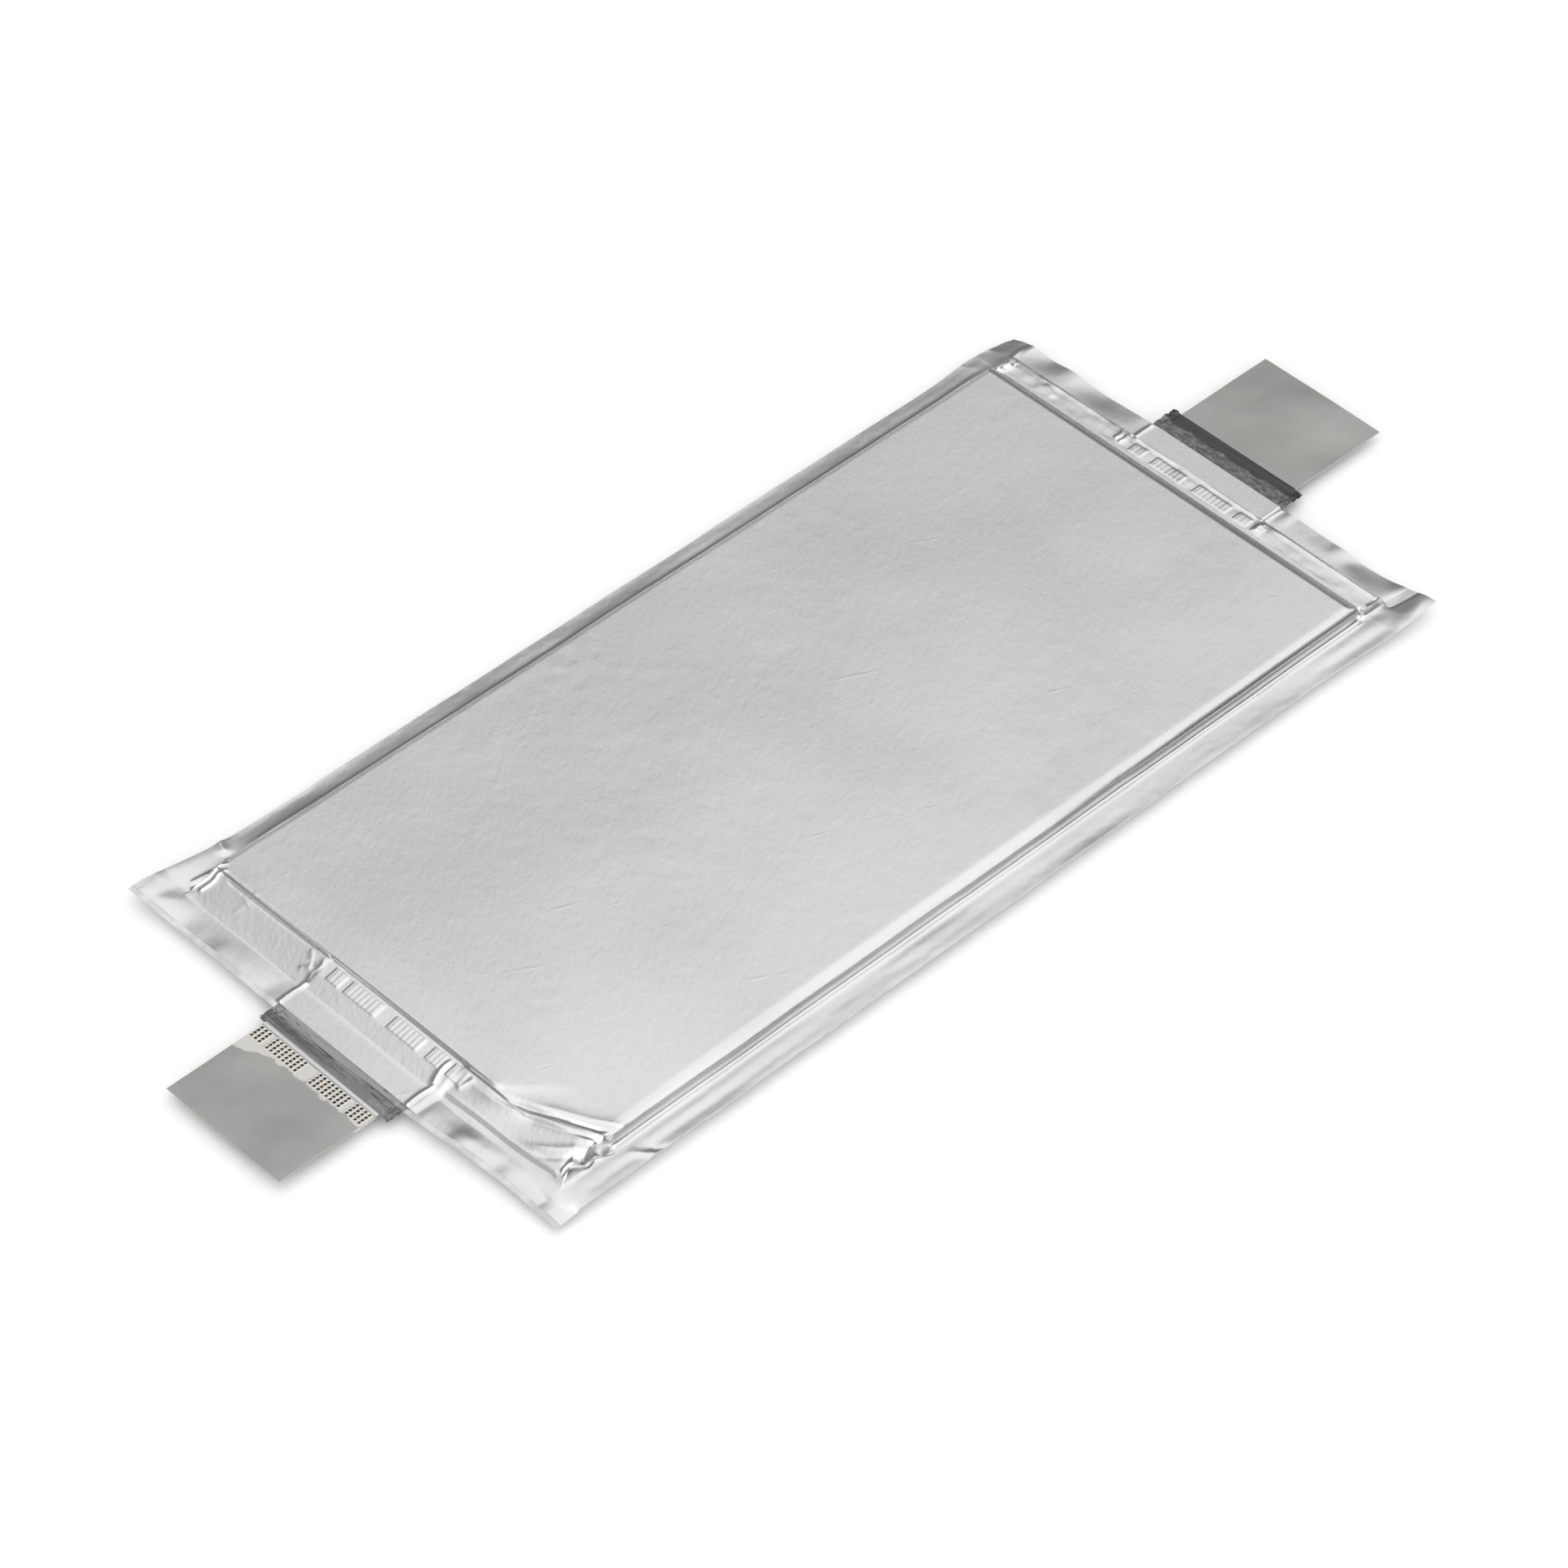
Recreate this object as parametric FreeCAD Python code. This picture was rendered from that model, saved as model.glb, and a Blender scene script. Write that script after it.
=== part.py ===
"""Lithium-ion pouch cell with a terminal tab at each end, as separate solids, one STEP per sub-part.

Frame: millimetres, +Z up. The origin is the centre of the flat lower face of the pouch. X runs across the
cell, Y along it, with the positive terminal at -Y and the negative terminal at +Y.
"""

import FreeCAD
import Part

import os

Vector = FreeCAD.Vector

# Pouch laminate: nylon, aluminium foil and polypropylene, bonded into one sheet
CELL_THICKNESS = 7.0
LAMINATE = 0.15
FLANGE_HALF_WIDTH = 66.4
FLANGE_HALF_LENGTH = 135.0
LOWER_SHEET_EXTRA = 1.3  # the lower sheet is trimmed this much longer at the positive end
SEAM_Z = CELL_THICKNESS / 2

# Drawn pocket that holds the stack, and the lower terrace over the tab welds at each end of it
POCKET_HALF_WIDTH = 59.0
POCKET_HALF_LENGTH = 119.6
POCKET_DRAFT = 0.4
POCKET_CORNER = 3.0
POCKET_EDGE = 1.2
TERRACE_HALF_WIDTH = 58.4
TERRACE_HALF_LENGTH = 127.0
TERRACE_HEIGHT = 1.5
TERRACE_CORNER = 2.0
TERRACE_EDGE = 0.5
TERRACE_DRAFT = 0.1
CHANNEL_LAP = 1.0  # how far the ridge over a tab runs in under its terrace
TRIM = 1.0  # forms run this far past the sheet before they are trimmed to it

# Terminals
TAB_HALF_WIDTH = 18.25
POSITIVE_TAB_THICKNESS = 0.4
NEGATIVE_TAB_THICKNESS = 0.3
TAB_INNER_END = 120.4
POSITIVE_TAB_OUTER_END = 147.5
EXTENSION_THICKNESS = 0.2
EXTENSION_INNER_END = 141.5
POSITIVE_OUTER_END = 168.0
NEGATIVE_OUTER_END = 171.7

# Sealant film, fused round each tab where it leaves the pouch
FILM_HALF_WIDTH = 20.75
FILM_THICKNESS = 0.1
FILM_INNER_END = 124.4
POSITIVE_FILM_OUTER_END = 140.3
NEGATIVE_FILM_OUTER_END = 142.4
FILM_CLEARANCE = 0.02

# Ultrasonic weld of the extension: square pits in four groups across the tab
WELD_PITCH = 1.3
WELD_ROW_PITCH = 0.98
WELD_ROWS = 4
WELD_FIRST_ROW = 142.2
WELD_GROUPS = ((-17.65, 3), (-12.6, 8), (1.4, 8), (13.2, 4))  # first pit's X, number of columns
PIT_TOP = 0.62
PIT_BOTTOM = 0.34
PIT_DEPTH = 0.1

# Electrode stack
CATHODES = 18
ANODES = CATHODES + 1
CATHODE_THICKNESS = 0.155
ANODE_THICKNESS = 0.14
CATHODE_HALF_SIZE = (55.2, 112.8)
ANODE_HALF_SIZE = (56.2, 113.8)
CATHODE_FOIL = 0.015
ANODE_FOIL = 0.010
TAIL_ROOT = 1.0
TAIL_HALF_WIDTH = 17.5
TAIL_BEND_START = 115.1
TAIL_BEND_END = 120.3
TAIL_END = 124.0

# Separator ribbon, folded to and fro between the electrodes and then wrapped once round them
SEPARATOR = 0.025
SEPARATOR_HALF_WIDTH = 57.2
SEPARATOR_HALF_LENGTH = 114.8
WRAP_STEP = 0.03
WRAP_END_X = -8.0

# Tapes
TAPE = 0.05
END_TAPE = 0.03
END_TAPE_REACH = 7.0
END_TAPE_HALF_LENGTH = 95.0
STACK_TAPE_LAP = 9.0
STACK_TAPE_HALF_LENGTH = 8.0
STACK_TAPE_Y = 74.0
WELD_TAPE_HALF_WIDTH = 19.0

STACK_HEIGHT = CATHODES * CATHODE_THICKNESS + ANODES * ANODE_THICKNESS + (CATHODES + ANODES + 1) * SEPARATOR
STACK_BOTTOM = SEAM_Z - STACK_HEIGHT / 2
WRAP_BOTTOM = STACK_BOTTOM - WRAP_STEP
WRAP_TOP = STACK_BOTTOM + STACK_HEIGHT + WRAP_STEP


def box(x_low, x_high, y_low, y_high, z_low, z_high):
    return Part.makeBox(x_high - x_low, y_high - y_low, z_high - z_low, Vector(x_low, y_low, z_low))


def profile_along_y(points, y_low, y_high):
    """A closed outline of (x, z) points, extruded from y_low to y_high."""
    loop = [Vector(x, y_low, z) for x, z in points]
    face = Part.Face(Part.makePolygon(loop + [loop[0]]))
    return face.extrude(Vector(0, y_high - y_low, 0))


def profile_along_x(points, half_width):
    """A closed outline of (y, z) points, extruded across the cell."""
    loop = [Vector(-half_width, y, z) for y, z in points]
    face = Part.Face(Part.makePolygon(loop + [loop[0]]))
    return face.extrude(Vector(2 * half_width, 0, 0))


def thick_path(points, thickness):
    """The outline of a strip of even thickness that follows a path whose turns are all right angles."""
    half = thickness / 2
    left, right = [], []
    for i, (u, v) in enumerate(points):
        before = points[max(i - 1, 0)]
        after = points[min(i + 1, len(points) - 1)]
        side_u = side_v = 0.0
        for start, end in ((before, (u, v)), ((u, v), after)):
            run_u, run_v = end[0] - start[0], end[1] - start[1]
            length = (run_u**2 + run_v**2) ** 0.5
            if length > 0:
                side_u = side_u or -run_v / length
                side_v = side_v or run_u / length
        left.append((u + side_u * half, v + side_v * half))
        right.append((u - side_u * half, v - side_v * half))
    return left + right[::-1]


def rounded_rectangle(half_width, half_length, radius, z):
    """A closed wire: four straight sides joined by quarter arcs."""
    edges = []
    turns = ((1, 1), (-1, 1), (-1, -1), (1, -1))
    inner_x, inner_y = half_width - radius, half_length - radius
    bulge = radius / 2**0.5
    for i, (sx, sy) in enumerate(turns):
        on_x_side = Vector(sx * half_width, sy * inner_y, z)
        on_y_side = Vector(sx * inner_x, sy * half_length, z)
        middle = Vector(sx * (inner_x + bulge), sy * (inner_y + bulge), z)
        first, last = (on_x_side, on_y_side) if i % 2 == 0 else (on_y_side, on_x_side)
        edges.append(Part.Arc(first, middle, last).toShape())
        next_sx, next_sy = turns[(i + 1) % 4]
        if i % 2 == 0:
            following = Vector(next_sx * inner_x, next_sy * half_length, z)
        else:
            following = Vector(next_sx * half_width, next_sy * inner_y, z)
        edges.append(Part.LineSegment(last, following).toShape())
    return Part.Wire(edges)


def raised_form(half_width, half_length, corner, height, draft, edge):
    """A drafted rectangular boss standing on the seam plane, with its upper edges rounded."""
    foot = rounded_rectangle(half_width, half_length, corner, SEAM_Z)
    head = rounded_rectangle(half_width - draft, half_length - draft, corner, SEAM_Z + height)
    boss = Part.makeLoft([foot, head], True, True)
    top = SEAM_Z + height
    rim = [e for e in boss.Edges if all(abs(v.Z - top) < 1e-6 for v in e.Vertexes)]
    return boss.makeFillet(edge, rim)


def tab_channel(direction, grown, half_film, length):
    """The low ridge that the laminate makes over the sealant film, out to the edge of the flange."""
    half_width = FILM_HALF_WIDTH + FILM_CLEARANCE + grown
    height = half_film + FILM_CLEARANCE + grown
    y_low, y_high = sorted((direction * (TERRACE_HALF_LENGTH - CHANNEL_LAP), direction * length))
    return box(-half_width, half_width, y_low, y_high, SEAM_Z, SEAM_Z + height)


def formed_space(grown):
    """Everything under the upper laminate. grown is 0 for its inner face and LAMINATE for its outer face."""
    shrink = LAMINATE - grown
    pocket = raised_form(
        POCKET_HALF_WIDTH - shrink,
        POCKET_HALF_LENGTH - shrink,
        POCKET_CORNER - shrink,
        CELL_THICKNESS / 2 - shrink,
        POCKET_DRAFT,
        POCKET_EDGE - shrink,
    )
    terrace = raised_form(
        TERRACE_HALF_WIDTH - shrink,
        TERRACE_HALF_LENGTH - shrink,
        TERRACE_CORNER - shrink,
        TERRACE_HEIGHT - shrink,
        TERRACE_DRAFT,
        TERRACE_EDGE - shrink,
    )
    reach = FLANGE_HALF_LENGTH + LOWER_SHEET_EXTRA + TRIM
    positive = tab_channel(-1, grown, POSITIVE_TAB_THICKNESS / 2 + FILM_THICKNESS, reach)
    negative = tab_channel(1, grown, NEGATIVE_TAB_THICKNESS / 2 + FILM_THICKNESS, reach)
    return pocket.fuse([terrace, positive, negative])


def laminate_sheet(positive_extra):
    """The upper formed sheet: flange, channels, terraces and pocket, one laminate thick."""
    y_low = -FLANGE_HALF_LENGTH - positive_extra
    slab = (-FLANGE_HALF_WIDTH, FLANGE_HALF_WIDTH, y_low, FLANGE_HALF_LENGTH)
    trimmed = formed_space(LAMINATE).common(box(*slab, SEAM_Z, CELL_THICKNESS + TRIM))
    outer = trimmed.fuse(box(*slab, SEAM_Z, SEAM_Z + LAMINATE))
    return outer.cut(formed_space(0.0)).removeSplitter()


def upper_laminate():
    return laminate_sheet(0.0)


def lower_laminate():
    return laminate_sheet(LOWER_SHEET_EXTRA).mirror(Vector(0, 0, SEAM_Z), Vector(0, 0, 1))


def film(direction, side, tab_thickness, outer_end):
    """One half of the sealant film: a flat strip over the tab, with a lip to the seam on each side."""
    tab_half = TAB_HALF_WIDTH + FILM_CLEARANCE
    inside, outside = tab_thickness / 2, tab_thickness / 2 + FILM_THICKNESS
    outline = (
        (-FILM_HALF_WIDTH, 0),
        (-FILM_HALF_WIDTH, outside),
        (FILM_HALF_WIDTH, outside),
        (FILM_HALF_WIDTH, 0),
        (tab_half, 0),
        (tab_half, inside),
        (-tab_half, inside),
        (-tab_half, 0),
    )
    points = [(x, SEAM_Z + side * z) for x, z in outline]
    y_low, y_high = sorted((direction * FILM_INNER_END, direction * outer_end))
    return profile_along_y(points, y_low, y_high)


def tab_length(direction, thickness, inner_end, outer_end):
    y_low, y_high = sorted((direction * inner_end, direction * outer_end))
    half = thickness / 2
    return box(-TAB_HALF_WIDTH, TAB_HALF_WIDTH, y_low, y_high, SEAM_Z - half, SEAM_Z + half)


def positive_tab():
    return tab_length(-1, POSITIVE_TAB_THICKNESS, TAB_INNER_END, POSITIVE_TAB_OUTER_END)


def negative_tab():
    """One strip, with an edge across its faces where the film ends and the bare terminal starts."""
    sealed = tab_length(1, NEGATIVE_TAB_THICKNESS, TAB_INNER_END, NEGATIVE_FILM_OUTER_END)
    bare = tab_length(1, NEGATIVE_TAB_THICKNESS, NEGATIVE_FILM_OUTER_END, NEGATIVE_OUTER_END)
    return sealed.fuse(bare)


def weld_pit(x, y, z_top):
    """A square pit with sloping sides, as one corner of an ultrasonic horn leaves it."""
    levels = ((PIT_TOP / 2, z_top), (PIT_BOTTOM / 2, z_top - PIT_DEPTH))
    wires = []
    for half, z in levels:
        corners = [Vector(x + sx * half, y + sy * half, z) for sx, sy in ((-1, -1), (1, -1), (1, 1), (-1, 1))]
        wires.append(Part.makePolygon(corners + [corners[0]]))
    return Part.makeLoft(wires, True, True)


def tab_extension():
    """The strip welded on the positive tab, pitted where the two are joined."""
    z_low = SEAM_Z + POSITIVE_TAB_THICKNESS / 2
    z_top = z_low + EXTENSION_THICKNESS
    strip = box(-TAB_HALF_WIDTH, TAB_HALF_WIDTH, -POSITIVE_OUTER_END, -EXTENSION_INNER_END, z_low, z_top)
    pits = []
    for first_x, columns in WELD_GROUPS:
        for column in range(columns):
            for row in range(WELD_ROWS):
                x = first_x + column * WELD_PITCH
                y = -WELD_FIRST_ROW - row * WELD_ROW_PITCH
                pits.append(weld_pit(x, y, z_top))
    return strip.cut(Part.Compound(pits))


def electrode(half_size, thickness, foil, direction, centre_z, gathered_z):
    """A coated sheet with its bare foil tail, which bends from the sheet's level to its place on the tab."""
    half_width, half_length = half_size
    half = thickness / 2
    sheet = box(-half_width, half_width, -half_length, half_length, centre_z - half, centre_z + half)
    stations = (
        (half_length - TAIL_ROOT, centre_z),
        (TAIL_BEND_START, centre_z),
        (TAIL_BEND_END, gathered_z),
        (TAIL_END, gathered_z),
    )
    upper = [(direction * y, z + foil / 2) for y, z in stations]
    lower = [(direction * y, z - foil / 2) for y, z in stations]
    tail = profile_along_x(upper + lower[::-1], TAIL_HALF_WIDTH)
    return sheet.fuse(tail)


def electrode_stack():
    """Anodes and cathodes in turn, from the lowest anode up, as a dict of node name to solid."""
    kinds = (
        ("anode", ANODE_HALF_SIZE, ANODE_THICKNESS, ANODE_FOIL, 1, NEGATIVE_TAB_THICKNESS),
        ("cathode", CATHODE_HALF_SIZE, CATHODE_THICKNESS, CATHODE_FOIL, -1, POSITIVE_TAB_THICKNESS),
    )
    made = {}
    z = STACK_BOTTOM + SEPARATOR
    for layer in range(ANODES + CATHODES):
        kind, size, thickness, foil, direction, tab_thickness = kinds[layer % 2]
        below = layer // 2
        gathered_z = SEAM_Z + tab_thickness / 2 + (below + 0.5) * foil
        sheet = electrode(size, thickness, foil, direction, z + thickness / 2, gathered_z)
        made[f"{kind}_{below + 1:02d}"] = sheet
        z += thickness + SEPARATOR
    return made


def separator_ribbon():
    """One ribbon: a layer under, between and over all the electrodes, then once round the whole stack."""
    reach = SEPARATOR_HALF_WIDTH
    z = STACK_BOTTOM + SEPARATOR / 2
    path = []
    side = -1
    for layer in range(ANODES + CATHODES + 1):
        path += [(side * reach, z), (-side * reach, z)]
        side = -side
        z += SEPARATOR + (ANODE_THICKNESS if layer % 2 == 0 else CATHODE_THICKNESS)
    top_z = path[-1][1]
    around = reach + WRAP_STEP
    path[-1] = (side * around, top_z)
    bottom_z = WRAP_BOTTOM + SEPARATOR / 2
    over_z = top_z + WRAP_STEP
    path += [(side * around, bottom_z), (-side * around, bottom_z)]
    path += [(-side * around, over_z), (WRAP_END_X, over_z)]
    return profile_along_y(thick_path(path, SEPARATOR), -SEPARATOR_HALF_LENGTH, SEPARATOR_HALF_LENGTH)


def separator_end_tape():
    """A flat strip that holds down the loose end of the ribbon, with a step where the ribbon ends."""
    stack_top = WRAP_TOP - WRAP_STEP
    start, end = WRAP_END_X - END_TAPE_REACH, WRAP_END_X + END_TAPE_REACH
    under_step = WRAP_END_X - END_TAPE
    over_step = under_step - END_TAPE
    outline = (
        (start, stack_top),
        (under_step, stack_top),
        (under_step, WRAP_TOP),
        (end, WRAP_TOP),
        (end, WRAP_TOP + END_TAPE),
        (over_step, WRAP_TOP + END_TAPE),
        (over_step, stack_top + END_TAPE),
        (start, stack_top + END_TAPE),
    )
    return profile_along_y(outline, -END_TAPE_HALF_LENGTH, END_TAPE_HALF_LENGTH)


def stack_tape(side, y):
    """A short C of tape over one long edge of the wrapped stack."""
    outside = side * (SEPARATOR_HALF_WIDTH + WRAP_STEP + SEPARATOR / 2 + TAPE / 2)
    inside = outside - side * STACK_TAPE_LAP
    low, high = WRAP_BOTTOM - TAPE / 2, WRAP_TOP + TAPE / 2
    path = [(inside, low), (outside, low), (outside, high), (inside, high)]
    return profile_along_y(thick_path(path, TAPE), y - STACK_TAPE_HALF_LENGTH, y + STACK_TAPE_HALF_LENGTH)


def weld_tape(direction, z_low):
    """A strip of tape across the place where the foil tails are welded to the tab."""
    y_low, y_high = sorted((direction * TAB_INNER_END, direction * TAIL_END))
    return box(-WELD_TAPE_HALF_WIDTH, WELD_TAPE_HALF_WIDTH, y_low, y_high, z_low, z_low + TAPE)


def terminals():
    positive_half = POSITIVE_TAB_THICKNESS / 2
    negative_half = NEGATIVE_TAB_THICKNESS / 2
    made = {
        "positive_tab": positive_tab(),
        "positive_tab_extension": tab_extension(),
        "negative_tab": negative_tab(),
    }
    for name, side in (("upper", 1), ("lower", -1)):
        made[f"positive_tab_film_{name}"] = film(-1, side, POSITIVE_TAB_THICKNESS, POSITIVE_FILM_OUTER_END)
        made[f"negative_tab_film_{name}"] = film(1, side, NEGATIVE_TAB_THICKNESS, NEGATIVE_FILM_OUTER_END)
    made["positive_weld_tape_upper"] = weld_tape(-1, SEAM_Z + positive_half + CATHODES * CATHODE_FOIL)
    made["positive_weld_tape_lower"] = weld_tape(-1, SEAM_Z - positive_half - TAPE)
    made["negative_weld_tape_upper"] = weld_tape(1, SEAM_Z + negative_half + ANODES * ANODE_FOIL)
    made["negative_weld_tape_lower"] = weld_tape(1, SEAM_Z - negative_half - TAPE)
    return made


def wrapped_stack():
    made = electrode_stack()
    made["separator_ribbon"] = separator_ribbon()
    made["separator_end_tape"] = separator_end_tape()
    for side_name, side in (("left", -1), ("right", 1)):
        for end_name, end in (("positive", -1), ("negative", 1)):
            made[f"stack_tape_{side_name}_{end_name}"] = stack_tape(side, end * STACK_TAPE_Y)
    return made


def main():
    parts = {"upper_laminate": upper_laminate(), "lower_laminate": lower_laminate()}
    parts.update(terminals())
    parts.update(wrapped_stack())
    os.makedirs("parts", exist_ok=True)
    for name, shape in parts.items():
        shape.exportStep(f"parts/{name}.step")
        valid = shape.isValid() and len(shape.Solids) == 1
        print(f"{name}: {shape.Volume:.1f} mm3, {'valid' if valid else 'NOT VALID'}")


main()
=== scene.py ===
"""A lithium-ion pouch cell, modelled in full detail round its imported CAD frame.

Shapes are laid out in millimetres in the row frame: the origin is the centre of the lower face, +X is across
the cell and +Y runs from the positive to the negative terminal. Heights are counted from the seam, the plane
where the two laminate sheets meet, and meshes are scaled to metres as they are made.
"""

import math

import bpy
import numpy as np
from mathutils import Matrix, Vector

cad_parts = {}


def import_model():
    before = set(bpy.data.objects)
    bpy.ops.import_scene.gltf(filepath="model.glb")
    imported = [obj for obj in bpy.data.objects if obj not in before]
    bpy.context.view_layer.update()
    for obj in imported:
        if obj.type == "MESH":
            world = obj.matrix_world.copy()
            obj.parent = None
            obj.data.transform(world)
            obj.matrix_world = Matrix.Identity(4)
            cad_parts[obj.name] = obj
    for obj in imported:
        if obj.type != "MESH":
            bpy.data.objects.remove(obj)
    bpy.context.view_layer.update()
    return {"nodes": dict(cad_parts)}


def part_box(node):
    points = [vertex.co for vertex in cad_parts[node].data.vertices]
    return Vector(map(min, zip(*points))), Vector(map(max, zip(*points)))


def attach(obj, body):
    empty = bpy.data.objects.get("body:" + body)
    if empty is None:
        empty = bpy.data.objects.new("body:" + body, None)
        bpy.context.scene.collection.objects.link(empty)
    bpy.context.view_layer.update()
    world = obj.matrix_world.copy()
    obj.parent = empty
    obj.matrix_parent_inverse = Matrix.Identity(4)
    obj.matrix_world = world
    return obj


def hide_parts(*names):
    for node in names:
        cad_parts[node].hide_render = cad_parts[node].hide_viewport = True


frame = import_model()

MM = 0.001
NODES = frame["nodes"]


def box_mm(node):
    low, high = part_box(node)
    return np.array(low) / MM, np.array(high) / MM


# Sizes read from the frame, in millimetres
upper_low, upper_high = box_mm("upper_laminate")
lower_low = box_mm("lower_laminate")[0]
SEAM = upper_low[2]
PLATEAU = upper_high[2] - SEAM
FLANGE_X, FLANGE_Y = upper_high[0], upper_high[1]
LOWER_EXTRA = upper_low[1] - lower_low[1]

# Sizes of the formed laminate
LAMINATE = 0.15
FOOT_X = 59.05  # half-width of the pocket at its foot
POSITIVE_FOOT_Y = -127.0
NEGATIVE_FOOT_Y = 128.0
FILM_X = 20.6  # half-width of the sealant films
FILM_LIFT = 0.32  # how far the films lift the flange over each tab

# The pull-back of the plateau at the near right corner: where it begins in X, and over what length it grows
PULL_FROM, PULL_OVER = 30.0, 14.0

# Places of the top face that are rumpled more: centre in X and Y, spread in X and Y, strength
RUMPLED = ((-52, -20, 7, 12, 1.1), (-22, -62, 10, 16, 0.9), (15, -95, 12, 14, 0.9))

# Ridges that the edges of the films push through the flange: X, end (-1 positive, 1 negative), height
FILM_RIDGES = ((-FILM_X, -1, 0.42), (FILM_X, -1, 0.36), (-FILM_X + 0.6, 1, 0.32), (FILM_X + 0.8, 1, 0.26))

# The welded strip and its weld
WELD_PITCH, WELD_ROW_PITCH, WELD_ROWS = 1.3, 0.98, 4
WELD_FIRST_ROW = -142.2
WELD_GROUPS = ((-17.65, 3), (-12.6, 8), (1.4, 8), (13.2, 4))  # first column in X, number of columns
PIT_DEPTH, PIT_LIP = 0.17, 0.05
RIB_PITCH = 1.31  # of the ribs that the foil welds print through the terraces
BEAD_Y, BEAD_RADIUS, BEAD_HEIGHT = -140.95, 0.95, 0.45
BEAD_END_Y = -140.2
SHARP_ANGLE = 50  # degrees between faces, above which an edge is drawn sharp

# Camera and studio
AZIMUTH, ELEVATION = 46.13, 44.75
AIM = Vector((5.96, -11.2, SEAM)) * MM
CAMERA_DISTANCE = 1.2886
LENS, SENSOR = 133.64, 36.0
CLIP_NEAR, CLIP_FAR = 0.05, 20
FLOOR_HALF = 3.0
FLOOR_DROP = 0.0002
SOFTBOX_LEVEL = 1.15
KEY_LEVEL, KEY_LEVEL_MIRRORED = 2.0, 1.0

# Colours of bare metal
ALUMINIUM_FOIL = (0.86, 0.86, 0.87)
COPPER_FOIL = (0.80, 0.45, 0.30)
NICKEL_DULL, NICKEL_BRIGHT = (0.50, 0.49, 0.47), (0.58, 0.57, 0.55)


# ---------------------------------------------------------------- numbers


def smooth(t):
    """0 below 0, 1 above 1, an even S-curve between."""
    t = np.clip(t, 0.0, 1.0)
    return t * t * (3 - 2 * t)


def hump(t):
    """A rounded bump, 1 at 0 and nearly gone at 2."""
    return np.exp(-t * t)


def grid_lines(*spans):
    """Coordinates from spans of (start, end, step). Each span starts where the last one ended."""
    lines = [spans[0][0]]
    for start, end, step in spans:
        count = max(1, round((end - start) / step))
        lines += [start + (end - start) * k / count for k in range(1, count + 1)]
    return np.array(lines)


def value_noise(x, y, cell, seed):
    """Smooth noise from -1 to 1, with lumps about one cell wide."""
    table = np.random.default_rng(seed).uniform(-1, 1, (128, 128))
    u, v = x / cell, y / cell
    i, j = np.floor(u).astype(int), np.floor(v).astype(int)
    fu, fv = u - i, v - j
    fu = fu**3 * (fu * (fu * 6 - 15) + 10)
    fv = fv**3 * (fv * (fv * 6 - 15) + 10)
    low = table[i % 128, j % 128] * (1 - fu) + table[(i + 1) % 128, j % 128] * fu
    high = table[i % 128, (j + 1) % 128] * (1 - fu) + table[(i + 1) % 128, (j + 1) % 128] * fu
    return low * (1 - fv) + high * fv


def soft_profile(u, points, softness):
    """Heights along a line through the points, with its corners rounded over the given distance."""
    us, zs = zip(*sorted(points))
    total = 0.0
    offsets = np.linspace(-softness, softness, 7)
    for offset in offsets:
        total = total + np.interp(u + offset, us, zs)
    return total / len(offsets)


def smooth_route(points, steps=10):
    """A Catmull-Rom curve through the points."""
    p = np.array([points[0], *points, points[-1]], float)
    t = np.linspace(0, 1, steps, endpoint=False)[:, None]
    curve = []
    for a, b, c, d in zip(p, p[1:], p[2:], p[3:]):
        bend = (2 * a - 5 * b + 4 * c - d) * t**2
        curve.append(0.5 * (2 * b + (c - a) * t + bend + (3 * b - a - 3 * c + d) * t**3))
    return np.vstack([*curve, p[-1:]])


def add_fold(z, x, y, route, width, height, crisp=0.5, ends=(0.2, 0.2)):
    """Raises (or, with a negative height, sinks) a fold along a route.

    width is one number, or two for the sides left and right of the route. crisp 1 gives a knife edge, 0 a
    round back. ends are the shares of the route over which the fold fades in and out.
    """
    curve = smooth_route(route)
    left, right = width if isinstance(width, tuple) else (width, width)
    reach = 4 * max(left, right)
    near = (x > curve[:, 0].min() - reach) & (x < curve[:, 0].max() + reach)
    near &= (y > curve[:, 1].min() - reach) & (y < curve[:, 1].max() + reach)
    if not near.any():
        return
    px, py = x[near], y[near]
    best = np.full(px.shape, np.inf)
    along = np.zeros(px.shape)
    side = np.ones(px.shape)
    lengths = np.hypot(*np.diff(curve, axis=0).T)
    total = lengths.sum()
    done = 0.0
    for (ax, ay), (bx, by), length in zip(curve, curve[1:], lengths):
        if length == 0:
            continue
        ux, uy = (bx - ax) / length, (by - ay) / length
        t = np.clip((px - ax) * ux + (py - ay) * uy, 0, length)
        across = ux * (py - ay) - uy * (px - ax)
        gap = np.hypot(px - ax - t * ux, py - ay - t * uy)
        closer = gap < best
        best = np.where(closer, gap, best)
        along = np.where(closer, (done + t) / total, along)
        side = np.where(closer, across, side)
        done += length
    d = best / np.where(side > 0, left, right)
    shape = crisp * np.exp(-1.7 * d) + (1 - crisp) * np.exp(-d * d)
    taper = smooth(along / max(ends[0], 1e-6)) * smooth((1 - along) / max(ends[1], 1e-6))
    z[near] += height * shape * taper


# ---------------------------------------------------------------- meshes


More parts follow.
